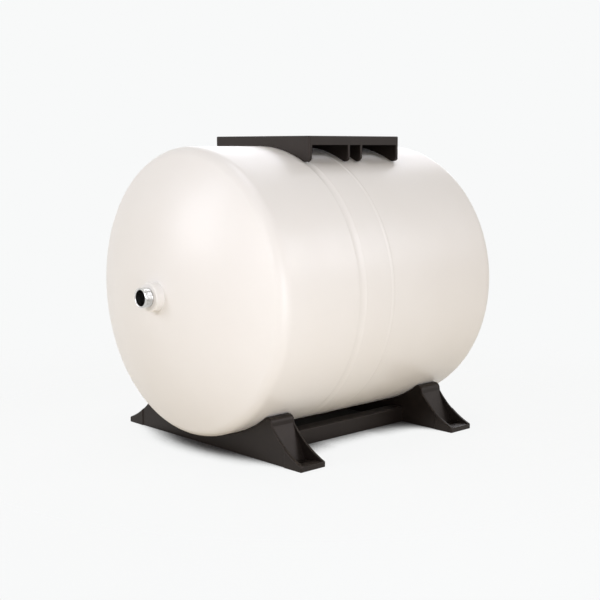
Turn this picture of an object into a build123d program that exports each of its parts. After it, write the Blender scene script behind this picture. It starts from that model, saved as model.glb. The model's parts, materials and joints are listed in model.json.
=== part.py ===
from build123d import *
import math
import os

os.makedirs("parts", exist_ok=True)

# Horizontal diaphragm pressure tank. The tank lies along X with its middle over the origin, the water
# connection faces -X, the air valve faces +X, and the floor is the plane z = 0.

# Tank envelope
tank_diameter = 390.0
straight_length = 382.6
crown_radius = 390.0
knuckle_radius = 20.0
floor_gap = 19.6

# Sheet, linings and the gaps between them
shell_wall = 1.8
liner_wall = 2.0
diaphragm_wall = 2.5
ring_wall = 1.5
lining_gap = 0.2
water_film = 7.0

# Rolled groove that holds the clench ring, and the lapped joint of the two shells
groove_x = -66.0
groove_width = 14.0
groove_depth = 0.9
ring_half_width = 15.0
taper_length = 25.0
joint_x = -6.0
joggle_length = 3.0
lap_length = 10.0
lap_gap = 0.15
weld_crown = 0.5
weld_half_width = 3.5
weld_toe = 1.5

# Water connection
nipple_radius = 13.2
nipple_bore_radius = 10.6
nipple_reach = 24.6
nipple_edge = 1.2
nipple_lead = 0.8
nipple_thread_length = 9.9
nipple_shank_radius = 12.9
thread_relief = 0.8
thread_relief_depth = 1.0
flange_radius = 20.0
flange_thickness = 4.0
hub_radius = 24.0
hub_rise = 1.0
port_clearance = 0.3
collar_radius = 19.5
collar_length = 12.0
collar_edge = 2.0
connection_seal_radius = 16.6
connection_seal_section = 2.6

# Air valve
boss_radius = 11.0
boss_length = 7.0
boss_edge = 1.0
shank_radius = 6.5
shank_clearance = 0.05
shank_tail = 3.0
hexagon_flats = 17.0
hexagon_thickness = 4.0
valve_oring_section = 1.8
stem_radius = 3.85
stem_length = 12.0
stem_edge = 0.5
stem_bore_radius = 2.0
core_chamber_radius = 2.65
core_clearance = 0.05
core_length = 8.0
core_recess = 0.6
spring_pocket_radius = 2.1
spring_pocket_depth = 5.0
pin_radius = 0.75
pin_bore_clearance = 0.25
pin_head_radius = 1.5
pin_head_thickness = 0.7
pin_tip_recess = 0.3
core_seal_radius = 1.75
core_seal_thickness = 1.2
pin_foot_radius = 1.3
pin_foot_thickness = 0.6
spring_wire_radius = 0.2
spring_radius = 1.3
spring_turns = 4
cap_radius = 6.0
cap_top = 2.5
cap_clearance = 0.2
cap_skirt_gap = 1.5
cap_edge = 0.8
cap_flutes = 18
cap_flute_radius = 0.7
cap_seal_thickness = 1.0

# Weld studs, washers and nuts that hold the stand and the platform
stud_radius = 4.0
stud_flange_radius = 5.5
stud_flange_thickness = 1.2
nut_flats = 13.0
nut_thickness = 6.5
nut_edge = 0.6
washer_radius = 8.0
washer_thickness = 1.6
stud_clearance = 0.4
stud_overhang = 0.9
stud_edge = 0.8
stud_boss_drop = 1.0
seat_gap = 0.3

# Stand
stand_half_length = 170.1
saddle_width = 43.4
stand_wall = 4.0
foot_reach = 188.0
toe_height = 7.0
toe_lip_back = 172.5
toe_lip_height = 6.5
toe_round = 2.5
horn_height = 59.3
horn_outer = 129.5
horn_round = 8.0
slope_sagitta = 5.0
slope_top = 48.5
slope_top_y = 131.0
foot_flange = 4.5
pocket_back = 154.0
foot_pad = 4.0
foot_hole_radius = 5.0
foot_step = 1.2
foot_start = 155.0
stand_rib = 3.0
stand_rib_pitch = 40.0
stand_rib_count = 6
stand_edge = 1.6
rail_outer = 91.8
rail_width = 22.0
rail_height = 22.0
rail_edge = 2.0
rail_rib_count = 5
rail_rib_pitch = 42.0
stud_boss_radius = 13.0

# Platform
platform_length = 178.0
platform_width = 196.4
platform_centre = 17.2
platform_rise = 13.9
platform_plate = 4.0
lip_height = 12.2
lip_wall = 4.0
platform_stud_spacing = 95.6
end_wall = 6.0
mid_wall = 4.0
mid_wall_pitch = 24.5
leg_tip_radius = 7.5
leg_edge = 1.2
keel_y = 20.0
keel_wall = 3.5
platform_corner = 3.0
platform_edge = 1.5
nut_pocket_radius = 11.0
nut_cup_wall = 3.5
slot_radius = 4.5
slot_length = 36.0
slot_pad_margin = 6.0
slot_pad_depth = 3.0
slot_spacing_x = 95.6
slot_spacing_y = 150.0

# Values that follow from the sizes above
tank_radius = tank_diameter / 2
axis_height = floor_gap + tank_radius
tangent_x = straight_length / 2
knuckle_centre_radius = tank_radius - knuckle_radius
crown_reach = math.sqrt((crown_radius - knuckle_radius) ** 2 - knuckle_centre_radius**2)
liner_inset = shell_wall + lining_gap
diaphragm_inset = liner_inset + liner_wall + lining_gap
ring_inset = diaphragm_inset + diaphragm_wall + lining_gap
saddle_centre = stand_half_length - saddle_width / 2
platform_top = floor_gap + tank_diameter + platform_rise

tank_axis = Axis((0, 0, axis_height), (1, 0, 0))
tank_section = Plane(origin=(0, 0, axis_height), x_dir=(1, 0, 0), z_dir=(0, -1, 0))
mirrored_section = Plane(origin=(0, 0, axis_height), x_dir=(-1, 0, 0), z_dir=(0, 1, 0))


def cross_plane(x):
    """A plane square to the tank's axis, facing +X, with its origin on the axis."""
    return Plane(origin=(x, 0, axis_height), x_dir=(0, 1, 0), z_dir=(1, 0, 0))


def pole_distance(inset):
    """From the tank's middle to the pole of a head, at a depth below the painted surface."""
    return tangent_x - crown_reach + crown_radius - inset


def head_distance(radius):
    """From the tank's middle to the outside of a head, at a distance from the axis."""
    return pole_distance(0) - crown_radius + math.sqrt(crown_radius**2 - radius**2)


def draw_head(inset):
    """Crown and knuckle arcs of a head, at a depth below the painted surface."""
    share = (crown_radius - inset) / (crown_radius - knuckle_radius)
    crown_end = (crown_reach * (1 - share) - tangent_x, share * knuckle_centre_radius)
    crown = TangentArc((-pole_distance(inset), 0), crown_end, tangent=(0, 1))
    TangentArc(crown_end, (-tangent_x, tank_radius - inset), tangent=crown % 1)


def draw_band(band_radius, start_x, end_x):
    """A cylindrical stretch of the section, dipping into the rolled groove."""
    groove_start = (groove_x - groove_width / 2, band_radius)
    groove_end = (groove_x + groove_width / 2, band_radius)
    Line((start_x, band_radius), groove_start)
    ThreePointArc(groove_start, (groove_x, band_radius - groove_depth), groove_end)
    Line(groove_end, (end_x, band_radius))


def lining_cup(body_inset, rim_inset, wall):
    """A cup inside the water-side shell, clamped at its rim by the clench ring."""
    rim_start = groove_x - ring_half_width
    rim_end = groove_x + ring_half_width
    with BuildPart() as cup:
        with BuildSketch(tank_section):
            with BuildLine():
                for depth in (0, wall):
                    body_radius = tank_radius - body_inset - depth
                    rim_radius = tank_radius - rim_inset - depth
                    draw_head(body_inset + depth)
                    Polyline(
                        (-tangent_x, body_radius),
                        (rim_start - taper_length, body_radius),
                        (rim_start, rim_radius),
                    )
                    draw_band(rim_radius, rim_start, rim_end)
                Line((-pole_distance(body_inset), 0), (-pole_distance(body_inset + wall), 0))
                Line((rim_end, tank_radius - rim_inset), (rim_end, tank_radius - rim_inset - wall))
            make_face()
        revolve(axis=tank_axis)
    return cup.part


# Water-side shell: drawn cup with the rolled groove, joggled in at its rim to lap under the other half
joggle_start = joint_x - joggle_length
spigot_end = joint_x + lap_length
spigot_radius = tank_radius - shell_wall - lap_gap

with BuildPart() as front_shell:
    with BuildSketch(tank_section):
        with BuildLine():
            for depth in (0, shell_wall):
                draw_head(depth)
                draw_band(tank_radius - depth, -tangent_x, joggle_start)
                Polyline(
                    (joggle_start, tank_radius - depth),
                    (joint_x, spigot_radius - depth),
                    (spigot_end, spigot_radius - depth),
                )
            Line((-pole_distance(0), 0), (-pole_distance(shell_wall), 0))
            Line((spigot_end, spigot_radius), (spigot_end, spigot_radius - shell_wall))
        make_face()
    revolve(axis=tank_axis)
    with BuildSketch(cross_plane(-tangent_x)):
        Circle(nipple_shank_radius + port_clearance)
    extrude(amount=-crown_radius, mode=Mode.SUBTRACT)

front_shell.part.label = "front_shell"
export_step(front_shell.part, "parts/front_shell.step")

# Air-side shell: a plain drawn cup whose edge lies over the joggle
with BuildPart() as rear_shell:
    with BuildSketch(mirrored_section):
        with BuildLine():
            for depth in (0, shell_wall):
                draw_head(depth)
                Line((-tangent_x, tank_radius - depth), (-joint_x, tank_radius - depth))
            Line((-pole_distance(0), 0), (-pole_distance(shell_wall), 0))
            Line((-joint_x, tank_radius), (-joint_x, tank_radius - shell_wall))
        make_face()
    revolve(axis=tank_axis)
    with BuildSketch(cross_plane(tangent_x)):
        Circle(shank_radius + port_clearance)
    extrude(amount=crown_radius, mode=Mode.SUBTRACT)

rear_shell.part.label = "rear_shell"
export_step(rear_shell.part, "parts/rear_shell.step")

# Weld bead that fills the step between the two shell edges
weld_centre = joint_x - joggle_length / 2
weld_start = weld_centre - weld_half_width
weld_end = weld_centre + weld_half_width

with BuildPart() as girth_weld:
    with BuildSketch(tank_section):
        with BuildLine():
            Polyline(
                (weld_start, tank_radius),
                (weld_start + weld_toe, tank_radius + weld_crown),
                (weld_end - weld_toe, tank_radius + weld_crown),
                (weld_end, tank_radius),
                (joint_x, tank_radius),
                (joint_x, spigot_radius),
                (joggle_start, tank_radius),
                close=True,
            )
        make_face()
    revolve(axis=tank_axis)

girth_weld.part.label = "girth_weld"
export_step(girth_weld.part, "parts/girth_weld.step")

# Clench ring: rolled steel band that presses the linings into the groove
ring_start = groove_x - ring_half_width
ring_end = groove_x + ring_half_width
ring_outer = tank_radius - ring_inset
ring_inner = ring_outer - ring_wall

with BuildPart() as clench_ring:
    with BuildSketch(tank_section):
        with BuildLine():
            draw_band(ring_outer, ring_start, ring_end)
            draw_band(ring_inner, ring_start, ring_end)
            Line((ring_start, ring_outer), (ring_start, ring_inner))
            Line((ring_end, ring_outer), (ring_end, ring_inner))
        make_face()
    revolve(axis=tank_axis)

clench_ring.part.label = "clench_ring"
export_step(clench_ring.part, "parts/clench_ring.step")

# Water liner: moulded cup with a flat hub that the nipple flange seals against
hub_face = -pole_distance(liner_inset + liner_wall) + hub_rise

liner_cup = lining_cup(liner_inset, liner_inset, liner_wall)

with BuildPart() as water_liner:
    add(liner_cup)
    with BuildSketch(cross_plane(hub_face)):
        Circle(hub_radius)
    extrude(amount=-hub_rise - liner_wall / 2)
    with BuildSketch(cross_plane(hub_face)):
        Circle(nipple_shank_radius + port_clearance)
    extrude(amount=-hub_rise - 2 * liner_wall, mode=Mode.SUBTRACT)

water_liner.part.label = "water_liner"
export_step(water_liner.part, "parts/water_liner.step")

# Diaphragm: rubber cup that the air presses towards the liner when the tank holds no water
diaphragm_cup = lining_cup(diaphragm_inset + water_film, diaphragm_inset, diaphragm_wall)

with BuildPart() as diaphragm:
    add(diaphragm_cup)

diaphragm.part.label = "diaphragm"
export_step(diaphragm.part, "parts/diaphragm.step")

# Water connection: turned nipple with an inner flange and a seal groove in the flange face
nipple_mouth = -pole_distance(0) - nipple_reach
nipple_inner_end = hub_face + flange_thickness
thread_end = nipple_mouth + nipple_edge + nipple_thread_length
seal_half = connection_seal_section / 2

with BuildPart() as connection_nipple:
    with BuildSketch(tank_section):
        with BuildLine():
            Polyline(
                (nipple_inner_end, nipple_bore_radius),
                (nipple_inner_end, flange_radius),
                (hub_face, flange_radius),
                (hub_face, connection_seal_radius + seal_half),
                (hub_face + connection_seal_section, connection_seal_radius + seal_half),
                (hub_face + connection_seal_section, connection_seal_radius - seal_half),
                (hub_face, connection_seal_radius - seal_half),
                (hub_face, nipple_shank_radius),
                (thread_end + thread_relief, nipple_shank_radius),
                (thread_end + thread_relief, nipple_radius - thread_relief_depth),
                (thread_end, nipple_radius - thread_relief_depth),
                (thread_end, nipple_radius),
                (nipple_mouth + nipple_edge, nipple_radius),
                (nipple_mouth, nipple_radius - nipple_edge),
                (nipple_mouth, nipple_bore_radius + nipple_lead),
                (nipple_mouth + nipple_lead, nipple_bore_radius),
                close=True,
            )
        make_face()
    revolve(axis=tank_axis)

connection_nipple.part.label = "connection_nipple"
export_step(connection_nipple.part, "parts/connection_nipple.step")

with BuildPart() as connection_oring:
    with BuildSketch(tank_section):
        with Locations((hub_face + seal_half, connection_seal_radius)):
            Circle(seal_half)
    revolve(axis=tank_axis)

connection_oring.part.label = "connection_oring"
export_step(connection_oring.part, "parts/connection_oring.step")


def draw_boss(outer_radius, bore_radius, length, edge):
    """Section of a round boss with its foot on the crown of a head and a rounded outer edge."""
    face = -pole_distance(0) - length
    middle = (outer_radius + bore_radius) / 2
    foot = [(-head_distance(radius), radius) for radius in (outer_radius, middle, bore_radius)]
    ThreePointArc(*foot)
    Polyline(foot[2], (face, bore_radius), (face, outer_radius - edge))
    RadiusArc((face, outer_radius - edge), (face + edge, outer_radius), edge)
    Line((face + edge, outer_radius), foot[0])


# Round collar that draws the nipple tight against the head
with BuildPart() as connection_collar:
    with BuildSketch(tank_section):
        with BuildLine():
            draw_boss(collar_radius, nipple_shank_radius, collar_length, collar_edge)
        make_face()
    revolve(axis=tank_axis)

connection_collar.part.label = "connection_collar"
export_step(connection_collar.part, "parts/connection_collar.step")

# Air valve: welded boss, turned brass body with hexagon, and its seal in a counterbore of the boss
boss_face = pole_distance(0) + boss_length
hexagon_face = boss_face + hexagon_thickness
stem_mouth = hexagon_face + stem_length
shank_end = pole_distance(shell_wall) - shank_tail
core_outer = stem_mouth - core_recess
core_inner = core_outer - core_length
boss_bore_radius = shank_radius + shank_clearance

with BuildPart() as valve_boss:
    with BuildSketch(mirrored_section):
        with BuildLine():
            draw_boss(boss_radius, boss_bore_radius, boss_length, boss_edge)
        make_face()
    revolve(axis=tank_axis)
    with BuildSketch(cross_plane(boss_face)):
        Circle(boss_bore_radius + valve_oring_section)
    extrude(amount=-valve_oring_section, mode=Mode.SUBTRACT)

valve_boss.part.label = "valve_boss"
export_step(valve_boss.part, "parts/valve_boss.step")

with BuildPart() as valve_oring:
    with BuildSketch(tank_section):
        with Locations((boss_face - valve_oring_section / 2, boss_bore_radius + valve_oring_section / 2)):
            Circle(valve_oring_section / 2)
    revolve(axis=tank_axis)

valve_oring.part.label = "valve_oring"
export_step(valve_oring.part, "parts/valve_oring.step")

with BuildPart() as valve_body:
    with BuildSketch(tank_section):
        with BuildLine():
            Polyline(
                (shank_end, stem_bore_radius),
                (shank_end, shank_radius),
                (hexagon_face, shank_radius),
                (hexagon_face, stem_radius),
                (stem_mouth - stem_edge, stem_radius),
                (stem_mouth, stem_radius - stem_edge),
                (stem_mouth, core_chamber_radius),
                (core_inner, core_chamber_radius),
                (core_inner, stem_bore_radius),
                close=True,
            )
        make_face()
    revolve(axis=tank_axis)
    with BuildSketch(cross_plane(boss_face)):
        RegularPolygon(hexagon_flats / 2, 6, major_radius=False)
        Circle(stem_radius, mode=Mode.SUBTRACT)
    extrude(amount=hexagon_thickness)

valve_body.part.label = "valve_body"
export_step(valve_body.part, "parts/valve_body.step")

# Valve core: sleeve with a spring pocket, headed pin through it, and a rubber seal at the pin's foot
pocket_floor = core_outer - spring_pocket_depth
pin_head_back = core_outer - pin_head_thickness
core_seal_end = core_inner - core_seal_thickness
core_radius = core_chamber_radius - core_clearance

with BuildPart() as valve_core:
    with BuildSketch(tank_section):
        with BuildLine():
            Polyline(
                (core_inner, pin_radius + pin_bore_clearance),
                (core_inner, core_radius),
                (core_outer, core_radius),
                (core_outer, spring_pocket_radius),
                (pocket_floor, spring_pocket_radius),
                (pocket_floor, pin_radius + pin_bore_clearance),
                close=True,
            )
        make_face()
    revolve(axis=tank_axis)

valve_core.part.label = "valve_core"
export_step(valve_core.part, "parts/valve_core.step")

with BuildPart() as valve_pin:
    with BuildSketch(tank_section):
        with BuildLine():
            Polyline(
                (core_seal_end - pin_foot_thickness, 0),
                (core_seal_end - pin_foot_thickness, pin_foot_radius),
                (core_seal_end, pin_foot_radius),
                (core_seal_end, pin_radius),
                (pin_head_back, pin_radius),
                (pin_head_back, pin_head_radius),
                (core_outer, pin_head_radius),
                (core_outer, pin_radius),
                (stem_mouth - pin_tip_recess, pin_radius),
                (stem_mouth - pin_tip_recess, 0),
                close=True,
            )
        make_face()
    revolve(axis=tank_axis)

valve_pin.part.label = "valve_pin"
export_step(valve_pin.part, "parts/valve_pin.step")

with BuildPart() as valve_seal:
    with BuildSketch(cross_plane(core_inner)):
        Circle(core_seal_radius)
        Circle(pin_radius, mode=Mode.SUBTRACT)
    extrude(amount=-core_seal_thickness)

valve_seal.part.label = "valve_seal"
export_step(valve_seal.part, "parts/valve_seal.step")

spring_length = pin_head_back - pocket_floor - 2 * spring_wire_radius

with BuildPart() as valve_spring:
    with BuildLine() as coil:
        Helix(
            pitch=spring_length / spring_turns,
            height=spring_length,
            radius=spring_radius,
            center=(pocket_floor + spring_wire_radius, 0, axis_height),
            direction=(1, 0, 0),
        )
    with BuildSketch(Plane(origin=coil.line @ 0, z_dir=coil.line % 0)):
        Circle(spring_wire_radius)
    sweep()

valve_spring.part.label = "valve_spring"
export_step(valve_spring.part, "parts/valve_spring.step")

# Valve cap: fluted screw cap with a rubber disc that bears on the stem's mouth
cap_start = hexagon_face + cap_skirt_gap
cap_floor = stem_mouth + cap_seal_thickness
cap_bore_radius = stem_radius + cap_clearance

with BuildPart() as valve_cap:
    with BuildSketch(cross_plane(cap_start)):
        Circle(cap_radius)
    extrude(amount=cap_floor + cap_top - cap_start)
    fillet(valve_cap.edges().group_by(Axis.X)[-1], cap_edge)
    with BuildSketch(cross_plane(cap_start)):
        Circle(cap_bore_radius)
    extrude(amount=cap_floor - cap_start, mode=Mode.SUBTRACT)
    with BuildSketch(cross_plane(cap_start)):
        with PolarLocations(cap_radius, cap_flutes):
            Circle(cap_flute_radius)
    extrude(amount=cap_floor - cap_start, mode=Mode.SUBTRACT)

valve_cap.part.label = "valve_cap"
export_step(valve_cap.part, "parts/valve_cap.step")

with BuildPart() as valve_cap_seal:
    with BuildSketch(cross_plane(stem_mouth)):
        Circle(cap_bore_radius)
    extrude(amount=cap_seal_thickness)

valve_cap_seal.part.label = "valve_cap_seal"
export_step(valve_cap_seal.part, "parts/valve_cap_seal.step")

# Stand: one moulding of two saddles and two rails, open underneath and stiffened by ribs
saddle_inner = saddle_centre - saddle_width / 2
saddle_body_width = saddle_width - 2 * foot_step
cavity_width = saddle_body_width - 2 * stand_wall
channel_width = saddle_width - 2 * foot_flange
back_run = stand_wall * math.hypot(pocket_back - slope_top_y, slope_top - foot_pad) / (slope_top - foot_pad)
foot_hole_y = (pocket_back + toe_lip_back) / 2
stand_boss_face = floor_gap - seat_gap - stand_wall - stud_boss_drop
stud_hole_radius = stud_flange_radius + stud_clearance


def saddle_slab(centre, width, inner_y):
    """A slab with the saddle's outline, outside the given distance from the middle."""
    with BuildPart() as slab:
        with BuildSketch(Plane.YZ.offset(centre - width / 2)) as outline:
            with BuildLine():
                Polyline((0, 0), (foot_reach, 0), (foot_reach, toe_height))
                SagittaArc((foot_reach, toe_height), (slope_top_y, slope_top), slope_sagitta)
                Polyline((slope_top_y, slope_top), (horn_outer, horn_height), (0, horn_height))
                mirror(about=Plane.YZ)
            make_face()
            fillet(outline.vertices().group_by(Axis.Y)[1], toe_round)
            horn_corners = outline.vertices().group_by(Axis.Y)[-1].group_by(lambda vertex: abs(vertex.X))[-1]
            fillet(horn_corners, horn_round)
            with Locations((0, axis_height)):
                Circle(tank_radius + seat_gap, mode=Mode.SUBTRACT)
            if inner_y:
                Rectangle(2 * inner_y, 2 * horn_height, mode=Mode.SUBTRACT)
        extrude(amount=width)
        fillet(slab.edges().filter_by(Plane.YZ).filter_by(lambda edge: edge.center().Z > 0), stand_edge)
    return slab.part


saddles = {
    centre: (saddle_slab(centre, saddle_body_width, 0), saddle_slab(centre, saddle_width, foot_start))
    for centre in (-saddle_centre, saddle_centre)
}

with BuildPart() as base_stand:
    for centre, slabs in saddles.items():
        add(slabs)

        # Hollow underside, with cross ribs left standing
        with BuildSketch(Plane.YZ.offset(centre - cavity_width / 2)):
            with BuildLine():
                Polyline(
                    (0, 0),
                    (pocket_back - back_run, 0),
                    (pocket_back - back_run, foot_pad),
                    (slope_top_y - back_run, slope_top),
                    (0, slope_top),
                )
                mirror(about=Plane.YZ)
            make_face()
            with Locations((0, axis_height)):
                Circle(tank_radius + seat_gap + stand_wall, mode=Mode.SUBTRACT)
            with GridLocations(stand_rib_pitch, 0, stand_rib_count, 1):
                Rectangle(stand_rib, 2 * horn_height, mode=Mode.SUBTRACT)
        extrude(amount=cavity_width, mode=Mode.SUBTRACT)

        # Channel between the two flanges of each foot, with a pocket for the floor bolt
        with BuildSketch(Plane.YZ.offset(centre - channel_width / 2)):
            with BuildLine():
                Polyline(
                    (slope_top_y, slope_top),
                    (pocket_back, foot_pad),
                    (toe_lip_back, foot_pad),
                    (toe_lip_back, toe_lip_height),
                    (foot_reach, toe_lip_height),
                    (foot_reach, slope_top),
                    close=True,
                )
            make_face()
            mirror(about=Plane.YZ)
        extrude(amount=channel_width, mode=Mode.SUBTRACT)
        with BuildSketch(Plane.XY):
            with Locations((centre, foot_hole_y), (centre, -foot_hole_y)):
                Circle(foot_hole_radius)
        extrude(amount=foot_pad, mode=Mode.SUBTRACT)

        # Boss under the cradle for the weld stud
        with BuildSketch(Plane.XY.offset(stand_boss_face)):
            with Locations((centre, 0)):
                Circle(stud_boss_radius)
        extrude(amount=stud_boss_drop + stand_wall / 2)
        with BuildSketch(Plane.XY.offset(stand_boss_face)):
            with Locations((centre, 0)):
                Circle(stud_hole_radius)
        extrude(amount=horn_height, mode=Mode.SUBTRACT)

    # Rails: channels open underneath, with cross ribs
    for hand in (-1, 1):
        rail_centre = hand * (rail_outer - rail_width / 2)
        hollow_length = 2 * (saddle_inner + foot_step)
        with BuildSketch(Plane.YZ) as rail:
            with Locations((rail_centre, rail_height / 2)):
                Rectangle(rail_width, rail_height)
            fillet(rail.vertices().group_by(Axis.Y)[-1], rail_edge)
        extrude(amount=(hollow_length + stand_wall) / 2, both=True)
        with BuildSketch(Plane.XY):
            with Locations((0, rail_centre)):
                Rectangle(hollow_length, rail_width - 2 * stand_wall)
                with GridLocations(rail_rib_pitch, 0, rail_rib_count, 1):
                    Rectangle(stand_rib, rail_width, mode=Mode.SUBTRACT)
        extrude(amount=rail_height - stand_wall, mode=Mode.SUBTRACT)

base_stand.part.label = "base_stand"
export_step(base_stand.part, "parts/base_stand.step")

# Platform: one moulding of a slotted plate with a lip, on four arched walls that stand on the crown
seat_radius = tank_radius + seat_gap
platform_stud_points = tuple((platform_centre + side * platform_stud_spacing / 2, 0) for side in (-1, 1))
crown_top = floor_gap + tank_diameter
pocket_seat = crown_top + seat_gap + platform_plate
wall_starts = (
    platform_centre - platform_length / 2,
    platform_centre - (mid_wall_pitch + mid_wall) / 2,
    platform_centre + (mid_wall_pitch - mid_wall) / 2,
    platform_centre + platform_length / 2 - end_wall,
)
wall_widths = (end_wall, mid_wall, mid_wall, end_wall)

with BuildPart() as pump_platform:
    with BuildSketch(Plane.XY.offset(platform_top)):
        with Locations((platform_centre, 0)):
            Rectangle(platform_length, platform_width)
    extrude(amount=-lip_height)
    with BuildSketch(Plane.XY.offset(platform_top - platform_plate)):
        with Locations((platform_centre, 0)):
            Rectangle(platform_length - 2 * lip_wall, platform_width - 2 * lip_wall)
    extrude(amount=-lip_height, mode=Mode.SUBTRACT)

    # Arched walls, and two keels along the tank between them
    for start, width in zip(wall_starts, wall_widths):
        with BuildSketch(cross_plane(start)) as wall:
            with Locations((0, (platform_top - axis_height) / 2)):
                Rectangle(platform_width, platform_top - axis_height)
            Circle(seat_radius, mode=Mode.SUBTRACT)
            fillet(wall.vertices().group_by(Axis.Y)[0], leg_tip_radius)
        extrude(amount=width)
    with BuildSketch(cross_plane(wall_starts[0])):
        for hand in (-1, 1):
            with Locations((hand * keel_y, (platform_top - axis_height) / 2)):
                Rectangle(keel_wall, platform_top - axis_height)
        Circle(seat_radius, mode=Mode.SUBTRACT)
    extrude(amount=platform_length)

    # Pads under the slots, and cups that hold the nuts below the plate
    with BuildSketch(Plane.XY.offset(platform_top)):
        with Locations((platform_centre, 0)):
            with GridLocations(slot_spacing_x, slot_spacing_y, 2, 2):
                SlotOverall(slot_length + 2 * slot_pad_margin, 2 * (slot_radius + slot_pad_margin))
    extrude(amount=-platform_plate - slot_pad_depth)
    with BuildSketch(Plane.XY.offset(platform_top)):
        with Locations(*platform_stud_points):
            Circle(nut_pocket_radius + nut_cup_wall)
    extrude(amount=crown_top - platform_top)
    with BuildSketch(cross_plane(wall_starts[0])):
        Circle(seat_radius)
    extrude(amount=platform_length, mode=Mode.SUBTRACT)
    with BuildSketch(cross_plane(weld_start - seat_gap)):
        Circle(seat_radius + weld_crown)
    extrude(amount=weld_end - weld_start + 2 * seat_gap, mode=Mode.SUBTRACT)

    # Rounded side edges of the two middle walls
    mid_start = wall_starts[1]
    mid_end = wall_starts[2] + mid_wall
    sides = pump_platform.edges().filter_by(Axis.Z).group_by(lambda edge: abs(edge.center().Y))[-1]
    fillet(sides.filter_by_position(Axis.X, mid_start, mid_end), leg_edge)

    # Rounded corners from the plate down the legs, and a rounded top edge
    with BuildSketch(Plane.XY.offset(axis_height)):
        with Locations((platform_centre, 0)):
            RectangleRounded(platform_length, platform_width, platform_corner)
    extrude(amount=platform_top - axis_height, mode=Mode.INTERSECT)
    fillet(pump_platform.faces().sort_by(Axis.Z)[-1].edges(), platform_edge)

    # Slots for the pump's bolts, nut pockets and stud holes
    with BuildSketch(Plane.XY.offset(platform_top)):
        with Locations((platform_centre, 0)):
            with GridLocations(slot_spacing_x, slot_spacing_y, 2, 2):
                SlotOverall(slot_length, 2 * slot_radius)
    extrude(amount=-platform_plate - slot_pad_depth, mode=Mode.SUBTRACT)
    with BuildSketch(Plane.XY.offset(platform_top)):
        with Locations(*platform_stud_points):
            Circle(nut_pocket_radius)
    extrude(amount=pocket_seat - platform_top, mode=Mode.SUBTRACT)
    with BuildSketch(Plane.XY.offset(pocket_seat)):
        with Locations(*platform_stud_points):
            Circle(stud_hole_radius)
    extrude(amount=crown_top - pocket_seat, mode=Mode.SUBTRACT)

pump_platform.part.label = "pump_platform"
export_step(pump_platform.part, "parts/pump_platform.step")


# Weld studs with their flanges on the tank, washers and nuts
def weld_studs(points, direction, root, length):
    """Studs that stand on the tank at the given points, up or down."""
    with BuildPart() as studs:
        with BuildSketch(Plane.XY.offset(root)):
            with Locations(*points):
                Circle(stud_flange_radius)
        extrude(amount=direction * stud_flange_thickness)
        with BuildSketch(Plane.XY.offset(root)):
            with Locations(*points):
                Circle(stud_radius)
        extrude(amount=direction * length)
        fillet_free = studs.edges().filter_by(GeomType.CIRCLE).sort_by(Axis.Z, reverse=direction > 0)
        chamfer(fillet_free[: len(points)], stud_edge)
    return studs.part


def flat_washers(points, bottom):
    """Flat washers with their undersides at one height."""
    with BuildPart() as washers:
        with BuildSketch(Plane.XY.offset(bottom)):
            with Locations(*points):
                Circle(washer_radius)
                Circle(stud_radius + stud_clearance, mode=Mode.SUBTRACT)
        extrude(amount=washer_thickness)
    return washers.part


def hex_nuts(points, bottom):
    """Hexagon nuts with chamfered corners, their undersides at one height."""
    with BuildPart() as nuts:
        with BuildSketch(Plane.XY.offset(bottom)):
            with Locations(*points):
                Circle(nut_flats / math.sqrt(3))
        extrude(amount=nut_thickness)
        chamfer(nuts.edges().filter_by(GeomType.CIRCLE), nut_edge)
        with BuildSketch(Plane.XY.offset(bottom)):
            with Locations(*points):
                RegularPolygon(nut_flats / 2, 6, major_radius=False)
                Circle(stud_radius, mode=Mode.SUBTRACT)
        extrude(amount=nut_thickness, mode=Mode.INTERSECT)
    return nuts.part


stand_stud_points = ((-saddle_centre, 0), (saddle_centre, 0))
stack = washer_thickness + nut_thickness
stand_nut_bottom = stand_boss_face - stack
stand_stud_length = floor_gap - stand_nut_bottom + stud_overhang
platform_stud_length = pocket_seat + stack + stud_overhang - crown_top

fasteners = {
    "stand_studs": weld_studs(stand_stud_points, -1, floor_gap, stand_stud_length),
    "stand_washers": flat_washers(stand_stud_points, stand_boss_face - washer_thickness),
    "stand_nuts": hex_nuts(stand_stud_points, stand_nut_bottom),
    "platform_studs": weld_studs(platform_stud_points, 1, crown_top, platform_stud_length),
    "platform_washers": flat_washers(platform_stud_points, pocket_seat),
    "platform_nuts": hex_nuts(platform_stud_points, pocket_seat + washer_thickness),
}
for name, piece in fasteners.items():
    piece.label = name
    export_step(piece, f"parts/{name}.step")
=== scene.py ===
import json
import math

import bmesh
import bpy
from mathutils import Matrix, Vector


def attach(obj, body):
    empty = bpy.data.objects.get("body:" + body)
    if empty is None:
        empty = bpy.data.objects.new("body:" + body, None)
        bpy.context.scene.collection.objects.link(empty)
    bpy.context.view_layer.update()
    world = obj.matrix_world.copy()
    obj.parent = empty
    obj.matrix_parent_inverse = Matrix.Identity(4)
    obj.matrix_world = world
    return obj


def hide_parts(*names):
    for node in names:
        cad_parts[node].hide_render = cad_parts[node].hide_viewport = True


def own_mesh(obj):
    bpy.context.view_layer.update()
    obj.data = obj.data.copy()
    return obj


MM = 0.001
FULL_TURN = 2 * math.pi

# Sizes shared with the solids, in millimetres
AXIS_HEIGHT = 214.6
TANK_RADIUS = 195.0
HEAD_POLE = 255.302
CROWN_RADIUS = 390.0


def scene_camera():
    """The camera at the photograph's viewing angle."""
    data = bpy.data.cameras.new("camera")
    data.sensor_width = 36.0
    data.lens = 68.23
    camera = bpy.data.objects.new("camera", data)
    camera.location = (-1.1247, -1.2068, 0.4087)
    camera.rotation_euler = (math.radians(82.33), 0.0, math.radians(-43.08))
    bpy.context.scene.collection.objects.link(camera)
    bpy.context.scene.camera = camera


# Materials


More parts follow.
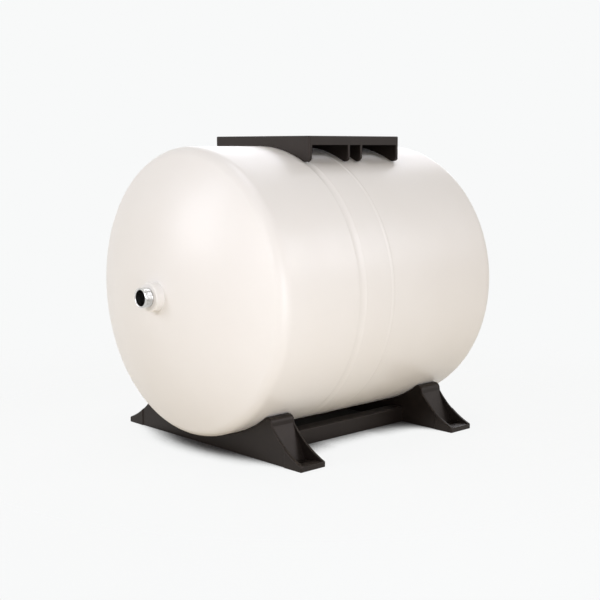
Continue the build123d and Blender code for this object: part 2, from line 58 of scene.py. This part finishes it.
class Finish:
    """A node material: a shader whose colour, roughness and surface come from textures in metres."""

    def __init__(self, name, **sockets):
        self.material = bpy.data.materials.new(name)
        self.material.use_nodes = True
        self.tree = self.material.node_tree
        self.shader = self.tree.nodes["Principled BSDF"]
        for socket, value in sockets.items():
            self.shader.inputs[socket.replace("_", " ")].default_value = value
        self.coordinates = self.add("ShaderNodeTexCoord").outputs["Object"]
        self.relief = None

    def add(self, kind):
        return self.tree.nodes.new(kind)

    def link(self, output, socket):
        self.tree.links.new(output, socket)

    def stretched(self, scale):
        """Object coordinates, scaled along each axis."""
        mapping = self.add("ShaderNodeMapping")
        mapping.inputs["Scale"].default_value = scale
        self.link(self.coordinates, mapping.inputs["Vector"])
        return mapping.outputs["Vector"]

    def noise(self, scale, detail=3.0, stretch=None):
        """Noise with features about 1 / scale metres across."""
        node = self.add("ShaderNodeTexNoise")
        node.inputs["Scale"].default_value = scale
        node.inputs["Detail"].default_value = detail
        self.link(self.stretched(stretch) if stretch else self.coordinates, node.inputs["Vector"])
        return node.outputs["Fac"]

    def colours(self, value, *stops):
        """Colour from a texture value, through (position, colour) stops."""
        node = self.add("ShaderNodeValToRGB")
        elements = node.color_ramp.elements
        while len(elements) < len(stops):
            elements.new(1.0)
        for element, (position, colour) in zip(elements, stops):
            element.position = position
            element.color = (*colour, 1.0)
        self.link(value, node.inputs["Fac"])
        self.link(node.outputs["Color"], self.shader.inputs["Base Color"])

    def roughness(self, value, low, high):
        """Roughness between low and high, over the middle of a texture's range."""
        node = self.add("ShaderNodeMapRange")
        for socket, number in zip(("From Min", "From Max", "To Min", "To Max"), (0.3, 0.7, low, high)):
            node.inputs[socket].default_value = number
        self.link(value, node.inputs["Value"])
        self.link(node.outputs["Result"], self.shader.inputs["Roughness"])

    def bump(self, value, depth, strength):
        """Adds relief of a depth in millimetres on top of the relief so far."""
        node = self.add("ShaderNodeBump")
        node.inputs["Strength"].default_value = strength
        node.inputs["Distance"].default_value = depth * MM
        self.link(value, node.inputs["Height"])
        if self.relief:
            self.link(self.relief, node.inputs["Normal"])
        self.relief = node.outputs["Normal"]
        self.link(self.relief, self.shader.inputs["Normal"])


def white_paint():
    """Sprayed and baked almond-white paint with a faint orange peel."""
    finish = Finish("white_paint", Specular_IOR_Level=0.4)
    finish.colours(
        finish.noise(7.0, 4.0),
        (0.3, (0.875, 0.862, 0.838)),
        (0.7, (0.897, 0.888, 0.87)),
    )
    finish.roughness(finish.noise(35.0, 4.0), 0.3, 0.38)
    finish.bump(finish.noise(240.0, 2.0), 0.04, 0.35)
    return finish.material


def black_plastic():
    """Injection-moulded polypropylene with a fine spark-eroded grain and slightly paler flow areas."""
    finish = Finish("black_plastic", Specular_IOR_Level=0.3, Specular_Tint=(1.0, 0.86, 0.78, 1.0))
    finish.colours(
        finish.noise(18.0, 5.0, stretch=(1.0, 0.45, 2.0)),
        (0.3, (0.0065, 0.0045, 0.0035)),
        (0.7, (0.011, 0.0085, 0.007)),
    )
    finish.roughness(finish.noise(60.0, 5.0), 0.41, 0.46)
    finish.bump(finish.noise(16.0, 2.0), 0.1, 0.04)
    finish.bump(finish.noise(1400.0, 2.0), 0.05, 0.5)
    return finish.material


def cap_plastic():
    """Smoother black plastic of the valve cap."""
    finish = Finish("cap_plastic", Specular_IOR_Level=0.5)
    finish.colours(finish.noise(300.0), (0.3, (0.013, 0.013, 0.013)), (0.7, (0.022, 0.021, 0.02)))
    finish.roughness(finish.noise(900.0), 0.32, 0.48)
    finish.bump(finish.noise(2500.0), 0.02, 0.5)
    return finish.material


def turned_metal(name, dark, light, low, high, stretch):
    """Metal with fine tool marks round the X axis."""
    finish = Finish(name, Metallic=1.0)
    marks = finish.noise(40.0, 3.0, stretch=stretch)
    finish.colours(finish.noise(160.0), (0.3, dark), (0.7, light))
    finish.roughness(marks, low, high)
    finish.bump(marks, 0.02, 0.4)
    return finish.material


def stainless_steel():
    """Stainless steel, turned and lightly polished."""
    return turned_metal(
        "stainless_steel", (0.58, 0.57, 0.55), (0.68, 0.665, 0.64), 0.12, 0.22, (30.0, 0.6, 0.6)
    )


def brass():
    """Brass, turned and a little dulled."""
    return turned_metal("brass", (0.62, 0.46, 0.2), (0.72, 0.55, 0.27), 0.2, 0.34, (40.0, 1.0, 1.0))


def zinc_plate():
    """Bright zinc plating, clouded and slightly iridescent."""
    finish = Finish("zinc_steel", Metallic=1.0)
    finish.colours(
        finish.noise(450.0, 3.0),
        (0.25, (0.40, 0.41, 0.40)),
        (0.5, (0.48, 0.48, 0.46)),
        (0.75, (0.53, 0.51, 0.43)),
    )
    finish.roughness(finish.noise(700.0, 4.0), 0.24, 0.42)
    finish.bump(finish.noise(1500.0, 3.0), 0.02, 0.5)
    return finish.material


def rolled_steel():
    """Bare cold-rolled steel."""
    finish = Finish("plain_steel", Metallic=1.0)
    finish.colours(finish.noise(30.0, 5.0), (0.3, (0.32, 0.32, 0.33)), (0.7, (0.42, 0.42, 0.43)))
    finish.roughness(finish.noise(120.0, 4.0, stretch=(1.0, 8.0, 8.0)), 0.3, 0.5)
    finish.bump(finish.noise(900.0), 0.02, 0.4)
    return finish.material


def black_rubber():
    """Matt moulded rubber."""
    finish = Finish("black_rubber", Specular_IOR_Level=0.3)
    finish.colours(finish.noise(90.0, 4.0), (0.3, (0.015, 0.015, 0.015)), (0.7, (0.028, 0.027, 0.027)))
    finish.roughness(finish.noise(400.0), 0.6, 0.8)
    finish.bump(finish.noise(1200.0), 0.05, 0.5)
    return finish.material


def liner_plastic():
    """Pale moulded polypropylene."""
    finish = Finish("liner_plastic", Specular_IOR_Level=0.4)
    finish.colours(finish.noise(25.0, 3.0), (0.3, (0.66, 0.70, 0.72)), (0.7, (0.72, 0.76, 0.78)))
    finish.roughness(finish.noise(80.0), 0.35, 0.5)
    finish.bump(finish.noise(500.0), 0.04, 0.4)
    return finish.material


def dress(solid, material):
    """Gives a solid of the frame its material."""
    solid.data.materials.clear()
    solid.data.materials.append(material)


# Meshes; lengths along and round an axis are in millimetres


def finished_mesh(name, mesh, material, crease=35.0):
    """An object from a bmesh, smooth apart from its sharp edges."""
    bmesh.ops.recalc_face_normals(mesh, faces=mesh.faces)
    for face in mesh.faces:
        face.smooth = True
    for edge in mesh.edges:
        edge.smooth = edge.is_manifold and edge.calc_face_angle(0.0) < math.radians(crease)
    data = bpy.data.meshes.new(name)
    mesh.to_mesh(data)
    mesh.free()
    data.materials.append(material)
    piece = bpy.data.objects.new(name, data)
    bpy.context.scene.collection.objects.link(piece)
    return piece


def join_rings(mesh, rings, closed=True):
    """Faces between rings of vertices. A ring may be one point, and the last ring may meet the first."""
    for first, second in zip(rings, rings[1:] + (rings[:1] if closed else [])):
        count = max(len(first), len(second))
        for index in range(count):
            after = (index + 1) % count
            corners = [first[index % len(first)], first[after % len(first)]]
            corners += [second[after % len(second)], second[index % len(second)]]
            mesh.faces.new(list(dict.fromkeys(corners)))


def local_vertex(mesh, place, along, radius, angle):
    """A vertex round the local Z axis of a place."""
    point = Vector((radius * math.cos(angle), radius * math.sin(angle), along))
    return mesh.verts.new(place @ (point * MM))


def tank_vertex(mesh, along, radius, angle):
    """A vertex round the tank's axis."""
    point = (along, radius * math.cos(angle), AXIS_HEIGHT + radius * math.sin(angle))
    return mesh.verts.new(Vector(point) * MM)


def wire_ring(mesh, along, coil_radius, wire_radius, angle, sides):
    """The round section of a wire or bead that runs about the tank's axis."""
    ring = []
    for side in range(sides):
        around = FULL_TURN * side / sides
        radius = coil_radius + wire_radius * math.sin(around)
        ring.append(tank_vertex(mesh, along + wire_radius * math.cos(around), radius, angle))
    return ring


def thread_share(along, turn, pitch):
    """Height of a 60 degree thread, from 0 at its flat root to 1 at its flat crest."""
    phase = (along / pitch - turn) % 1.0
    ridge = 1.0 - abs(2.0 * phase - 1.0)
    return min(1.0, max(0.0, 1.3 * ridge - 0.1))


def threaded_stations(profile, thread):
    """The (along, radius, depth of cut) stations of a profile, close together where the thread is cut."""
    start, end, depth, pitch = thread
    per_turn, fade_steps = 10, 8
    steps = int((end - start) / pitch * per_turn)
    stations = []
    for (along, radius), (next_along, next_radius) in zip(profile, profile[1:] + profile[:1]):
        stations.append((along, radius, 0.0))
        if radius != next_radius or {along, next_along} != {start, end}:
            continue
        for step in range(1, steps):
            here = along + (next_along - along) * step / steps
            fade = min(1.0, step / fade_steps, (steps - step) / fade_steps)
            stations.append((here, radius, depth * fade))
    return stations


def add_turned(mesh, place, profile, thread, segments=96):
    """Turns a profile of (along, radius) points about the local Z axis, closed on itself or on the axis.

    thread is (start, end, depth, pitch): the outside between those two places along the axis is cut.
    """
    pitch = thread[3]
    rings = []
    for along, radius, depth in threaded_stations(profile, thread):
        if radius == 0:
            rings.append([local_vertex(mesh, place, along, 0.0, 0.0)])
            continue
        ring = []
        for index in range(segments):
            turn = index / segments
            cut = depth * (1.0 - thread_share(along, turn, pitch)) if depth else 0.0
            ring.append(local_vertex(mesh, place, along, radius - cut, FULL_TURN * turn))
        rings.append(ring)
    join_rings(mesh, rings, closed=len(rings[0]) > 1)


def along_axis(distance):
    """A place on the tank's axis with its local Z towards +X."""
    turn = Matrix.Rotation(math.radians(90), 4, "Y")
    return Matrix.Translation((distance * MM, 0, AXIS_HEIGHT * MM)) @ turn


# Water connection


def threaded_nipple(material):
    """Stainless nipple with a pipe thread, in place of the plain turned solid."""
    mouth, hub, inner_end = -279.902, -250.302, -246.302
    length, inner = hub - mouth, inner_end - mouth
    outer, shank, bore, flange, edge = 13.2, 12.9, 10.6, 20.0, 1.2
    thread_end, thread_depth, thread_pitch = 11.1, 1.05, 1.814
    relief_width, relief_depth = 0.8, 1.0
    seal_low, seal_high, seal_depth = 15.3, 17.9, 2.6
    profile = [
        (inner, bore),
        (inner, flange),
        (length, flange),
        (length, seal_high),
        (length + seal_depth, seal_high),
        (length + seal_depth, seal_low),
        (length, seal_low),
        (length, shank),
        (thread_end + relief_width, shank),
        (thread_end + relief_width, outer - relief_depth),
        (thread_end, outer - relief_depth),
        (thread_end, outer),
        (edge, outer),
        (0.25, outer - edge + 0.25),
        (0.0, outer - edge - 0.1),
        (0.0, bore + 0.8),
        (0.2, bore + 0.45),
        (0.8, bore),
    ]
    mesh = bmesh.new()
    add_turned(mesh, along_axis(mouth), profile, (edge, thread_end, thread_depth, thread_pitch))
    piece = finished_mesh("threaded_nipple", mesh, material)
    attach(piece, "tank")
    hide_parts("connection_nipple")


# Air valve


def add_hexagon(mesh, place, apothem, inner_radius, start, end, chamfer, chamfer_radius):
    """A hexagon round the local Z axis, with a round hole and with corners chamfered at both ends."""
    corner_angle = math.pi / 3
    segments = 72
    levels = (
        (start, chamfer_radius),
        (start + chamfer, math.inf),
        (end - chamfer, math.inf),
        (end, chamfer_radius),
        (end, inner_radius),
        (start, inner_radius),
    )
    rings = []
    for along, limit in levels:
        ring = []
        for index in range(segments):
            angle = FULL_TURN * index / segments
            off_flat = (angle + corner_angle / 2) % corner_angle - corner_angle / 2
            ring.append(local_vertex(mesh, place, along, min(apothem / math.cos(off_flat), limit), angle))
        rings.append(ring)
    join_rings(mesh, rings)


def valve_stem(material):
    """Turned valve body with a threaded stem and a chamfered hexagon, in place of the plain one."""
    shank_end, boss_face = 250.502, 262.302
    boss = boss_face - shank_end
    hexagon = boss + 4.0
    mouth, core_seat = hexagon + 12.0, hexagon + 3.4
    shank, stem, chamber, bore, edge = 6.5, 3.85, 2.65, 2.0, 0.5
    thread_start, thread_depth, thread_pitch = hexagon + 1.0, 0.42, 0.794
    apothem, chamfer, chamfer_radius = 8.5, 0.7, 8.95
    profile = [
        (0.0, bore),
        (0.0, shank),
        (hexagon, shank),
        (hexagon, stem),
        (thread_start, stem),
        (mouth - edge, stem),
        (mouth, stem - edge),
        (mouth, chamber),
        (core_seat, chamber),
        (core_seat, bore),
    ]
    place = along_axis(shank_end)
    mesh = bmesh.new()
    add_turned(mesh, place, profile, (thread_start, mouth - edge, thread_depth, thread_pitch), segments=64)
    add_hexagon(mesh, place, apothem, shank, boss, hexagon, chamfer, chamfer_radius)
    piece = finished_mesh("valve_stem", mesh, material, crease=25.0)
    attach(piece, "tank")
    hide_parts("valve_body")


def spring_coil(material):
    """The pin's compression spring, its end turns closed."""
    seat, pin_head, wire_radius, coil_radius = 272.702, 277.002, 0.2, 1.3
    turns, end_turns, end_pitch, travel = 4.5, 0.8, 0.42, 1.2
    open_turns = turns - 2 * end_turns
    open_pitch = (pin_head - seat - 2 * wire_radius - 2 * end_turns * end_pitch) / open_turns
    per_turn, sides = 48, 12
    mesh = bmesh.new()
    rings = []
    for step in range(int(turns * per_turn) + 1):
        turn = step / per_turn
        opened = min(max(turn - end_turns, 0.0), open_turns)
        along = seat + wire_radius + end_pitch * (turn - opened) + open_pitch * opened
        rings.append(wire_ring(mesh, along, coil_radius, wire_radius, FULL_TURN * turn, sides))
    join_rings(mesh, rings, closed=False)
    mesh.faces.new(rings[0])
    mesh.faces.new(rings[-1])
    piece = finished_mesh("spring_coil", mesh, material, crease=50.0)
    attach(piece, "tank")
    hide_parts("valve_spring")
    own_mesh(piece)


# Threaded studs


def threaded_studs(node, points, root, direction, length, material):
    """Weld studs with a coarse M8 thread, in place of the plain solids."""
    radius, edge, flange, flange_thickness = 4.0, 0.8, 5.5, 1.2
    thread_depth, thread_pitch = 0.65, 1.25
    profile = [
        (0.0, 0.0),
        (0.0, flange),
        (flange_thickness, flange),
        (flange_thickness, radius),
        (length - edge, radius),
        (length, radius - edge),
        (length, 0.0),
    ]
    thread = (flange_thickness, length - edge, thread_depth, thread_pitch)
    mesh = bmesh.new()
    for x in points:
        place = Matrix.Translation((x * MM, 0, root * MM))
        if direction < 0:
            place = place @ Matrix.Rotation(math.pi, 4, "X")
        add_turned(mesh, place, profile, thread, segments=48)
    piece = finished_mesh(node + "_threaded", mesh, material)
    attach(piece, "tank")
    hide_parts(node)


# Welds


def girth_bead(material):
    """The painted weld round the joint of the shells, with fine ripples, in place of the plain bead."""
    start, end, crown = -11.0, -4.0, 0.48
    joint, joggle, spigot_radius = -6.0, -9.0, 193.05
    ripples, ripple_depth, ripple_lag = 400, 0.07, 0.7
    per_ripple, across = 6, 10
    foot = ((joint, TANK_RADIUS), (joint, spigot_radius), (joggle, TANK_RADIUS))
    mesh = bmesh.new()
    rings = []
    for index in range(ripples * per_ripple):
        turn = index / (ripples * per_ripple)
        section = []
        for step in range(across + 1):
            share = step / across
            bow = math.sin(math.pi * share)
            wave = math.sin(FULL_TURN * (ripples * turn + ripple_lag * bow))
            height = bow**1.5 * (crown + ripple_depth * (wave - 1))
            section.append((start + (end - start) * share, TANK_RADIUS + height))
        section.extend(foot)
        rings.append([tank_vertex(mesh, along, radius, FULL_TURN * turn) for along, radius in section])
    join_rings(mesh, rings)
    piece = finished_mesh("girth_bead", mesh, material, crease=60.0)
    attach(piece, "tank")
    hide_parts("girth_weld")


def boss_weld(material):
    """Fillet weld round the foot of the valve boss, built up of ripples, under the paint."""
    ring_radius, bead_radius, lift = 11.6, 1.5, 0.2
    ripples, ripple_share = 58, 0.08
    per_ripple, sides = 8, 14
    head_face = HEAD_POLE - CROWN_RADIUS + math.sqrt(CROWN_RADIUS**2 - ring_radius**2)
    mesh = bmesh.new()
    rings = []
    for index in range(ripples * per_ripple):
        turn = index / (ripples * per_ripple)
        phase = (turn * ripples) % 1.0
        radius = bead_radius * (1.0 + ripple_share * (math.sin(math.pi * phase) ** 0.6 - 0.6))
        rings.append(wire_ring(mesh, head_face + lift, ring_radius, radius, FULL_TURN * turn, sides))
    join_rings(mesh, rings)
    piece = finished_mesh("boss_weld", mesh, material, crease=60.0)
    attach(piece, "tank")


# Studio

BACKDROP = (0.939, 0.947, 0.947, 1.0)
FILL = (1.0, 0.78, 0.38, 1.0)
FILL_STRENGTH = 0.2
LAMP_COLOUR = (0.9, 0.91, 1.0)
LAMP_TARGET = (0.0, 0.0, 0.22)

# Name, place, width in metres and power in watts
LAMPS = (
    ("front", (-0.45, -1.0, 0.27), 0.5, 4.15),
    ("left", (-1.5, -0.4, 0.7), 0.7, 5.9),
    ("right", (0.9, -1.3, 0.9), 0.7, 5.7),
    ("left_rear", (-1.4, 0.7, 0.8), 0.7, 8.0),
    ("top", (0.0, 0.0, 1.7), 0.7, 5.2),
    ("rear", (1.3, 1.05, 1.35), 1.5, 14.0),
)


def studio_lamps():
    """Soft square lamps that the camera doesn't see."""
    for name, place, width, power in LAMPS:
        data = bpy.data.lights.new(name, "AREA")
        data.shape = "SQUARE"
        data.size = width
        data.energy = power
        data.color = LAMP_COLOUR
        lamp = bpy.data.objects.new(name, data)
        lamp.location = place
        lamp.visible_camera = False
        lamp.rotation_euler = (Vector(LAMP_TARGET) - Vector(place)).to_track_quat("-Z", "Y").to_euler()
        bpy.context.scene.collection.objects.link(lamp)


def seen_rays(tree):
    """1 for rays that show the background: camera, glossy and transmission rays."""
    path = tree.nodes.new("ShaderNodeLightPath")
    total = path.outputs["Is Camera Ray"]
    for kind in ("Is Glossy Ray", "Is Transmission Ray"):
        larger = tree.nodes.new("ShaderNodeMath")
        larger.operation = "MAXIMUM"
        tree.links.new(total, larger.inputs[0])
        tree.links.new(path.outputs[kind], larger.inputs[1])
        total = larger.outputs["Value"]
    return total


def mixed_shader(tree, share, first, second):
    """The first shader where the share is 0, the second where it is 1."""
    mix = tree.nodes.new("ShaderNodeMixShader")
    tree.links.new(share, mix.inputs["Fac"])
    tree.links.new(first, mix.inputs[1])
    tree.links.new(second, mix.inputs[2])
    return mix.outputs["Shader"]


def smooth_range(tree, value, low, high, top=1.0):
    """A value that rises smoothly from 0 at low to the top at high."""
    node = tree.nodes.new("ShaderNodeMapRange")
    node.interpolation_type = "SMOOTHSTEP"
    node.inputs["From Min"].default_value = low
    node.inputs["From Max"].default_value = high
    node.inputs["To Max"].default_value = top
    tree.links.new(value, node.inputs["Value"])
    return node.outputs["Result"]


def studio_world():
    """A white backdrop for the rays that show it, and a dim warm fill for the light it gives."""
    world = bpy.data.worlds.new("studio")
    bpy.context.scene.world = world
    world.use_nodes = True
    tree = world.node_tree
    fill = tree.nodes["Background"]
    fill.inputs["Color"].default_value = FILL
    fill.inputs["Strength"].default_value = FILL_STRENGTH
    backdrop = tree.nodes.new("ShaderNodeBackground")
    backdrop.inputs["Color"].default_value = BACKDROP
    shader = mixed_shader(tree, seen_rays(tree), fill.outputs["Background"], backdrop.outputs["Background"])
    tree.links.new(shader, tree.nodes["World Output"].inputs["Surface"])


def glow_with_painted_shade(tree):
    """The backdrop's white as a glow with painted shade: ambient occlusion darkens the glow where the floor
    is covered from close above.
    """
    new, link = tree.nodes.new, tree.links.new
    shaded = new("ShaderNodeBsdfDiffuse")
    shaded.inputs["Color"].default_value = (0.08, 0.08, 0.08, 1.0)
    # Painted shade: ambient occlusion measures how closely the floor is covered, under and beside the
    # object
    painted_shade_occlusion = new("ShaderNodeAmbientOcclusion")
    painted_shade_occlusion.samples = 16
    painted_shade_occlusion.inputs["Distance"].default_value = 0.09
    glow = new("ShaderNodeEmission")
    glow.inputs["Color"].default_value = BACKDROP
    # Painted shade: the glow's strength follows the occlusion, so covered floor goes dark
    link(smooth_range(tree, painted_shade_occlusion.outputs["AO"], 0.2, 0.5, top=0.93), glow.inputs["Strength"])
    surface = new("ShaderNodeAddShader")
    link(shaded.outputs["BSDF"], surface.inputs[0])
    link(glow.outputs["Emission"], surface.inputs[1])
    return surface.outputs["Shader"]


def floor_finish():
    """A pale floor that lights the object from below, keeps its shadow, partly real and partly painted
    shade, and fades into the backdrop.
    """
    material = bpy.data.materials.new("floor")
    material.use_nodes = True
    tree = material.node_tree
    new, link = tree.nodes.new, tree.links.new
    tree.nodes.remove(tree.nodes["Principled BSDF"])

    plain = new("ShaderNodeBsdfDiffuse")
    plain.inputs["Color"].default_value = (0.78, 0.71, 0.57, 1.0)
    coordinates = new("ShaderNodeTexCoord")
    distance = new("ShaderNodeVectorMath")
    distance.operation = "LENGTH"
    link(coordinates.outputs["Object"], distance.inputs[0])
    fade = smooth_range(tree, distance.outputs["Value"], 0.35, 0.9)
    clear = new("ShaderNodeBsdfTransparent")
    seen = mixed_shader(tree, fade, glow_with_painted_shade(tree), clear.outputs["BSDF"])
    surface = mixed_shader(tree, seen_rays(tree), plain.outputs["BSDF"], seen)
    link(surface, tree.nodes["Material Output"].inputs["Surface"])
    return material


def studio_floor():
    """A level square of floor, just below the object's feet."""
    half, drop = 3.0, 0.0003
    corners = ((-half, -half), (half, -half), (half, half), (-half, half))
    mesh = bmesh.new()
    mesh.faces.new([mesh.verts.new((x, y, -drop)) for x, y in corners])
    data = bpy.data.meshes.new("floor")
    mesh.to_mesh(data)
    mesh.free()
    data.materials.append(floor_finish())
    floor = bpy.data.objects.new("floor", data)
    bpy.context.scene.collection.objects.link(floor)


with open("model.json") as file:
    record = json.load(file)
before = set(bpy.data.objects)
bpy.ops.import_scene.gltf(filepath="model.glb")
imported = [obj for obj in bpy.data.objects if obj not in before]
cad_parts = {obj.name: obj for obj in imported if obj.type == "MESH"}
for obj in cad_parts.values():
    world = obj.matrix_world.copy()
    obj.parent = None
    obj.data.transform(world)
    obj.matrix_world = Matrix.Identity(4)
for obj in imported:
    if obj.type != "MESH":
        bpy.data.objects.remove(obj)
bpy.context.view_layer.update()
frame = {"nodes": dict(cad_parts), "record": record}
scene_camera()

finishes = {
    "white_paint": white_paint(),
    "black_plastic": black_plastic(),
    "stainless_steel": stainless_steel(),
    "zinc_steel": zinc_plate(),
    "plain_steel": rolled_steel(),
    "brass": brass(),
    "black_rubber": black_rubber(),
    "liner_plastic": liner_plastic(),
}
for row in frame["record"]["subparts"]:
    dress(frame["nodes"][row["node"]], finishes[row["material_slot"]])
dress(frame["nodes"]["valve_cap"], cap_plastic())

threaded_nipple(finishes["stainless_steel"])
valve_stem(finishes["brass"])
spring_coil(finishes["plain_steel"])
girth_bead(finishes["white_paint"])
threaded_studs("platform_studs", (-30.6, 65.0), 409.6, 1, 13.3, finishes["zinc_steel"])
threaded_studs("stand_studs", (-148.4, 148.4), 19.6, -1, 14.3, finishes["zinc_steel"])
boss_weld(finishes["white_paint"])

studio_floor()
studio_world()
studio_lamps()

scene = bpy.context.scene
scene.view_settings.view_transform = "Standard"
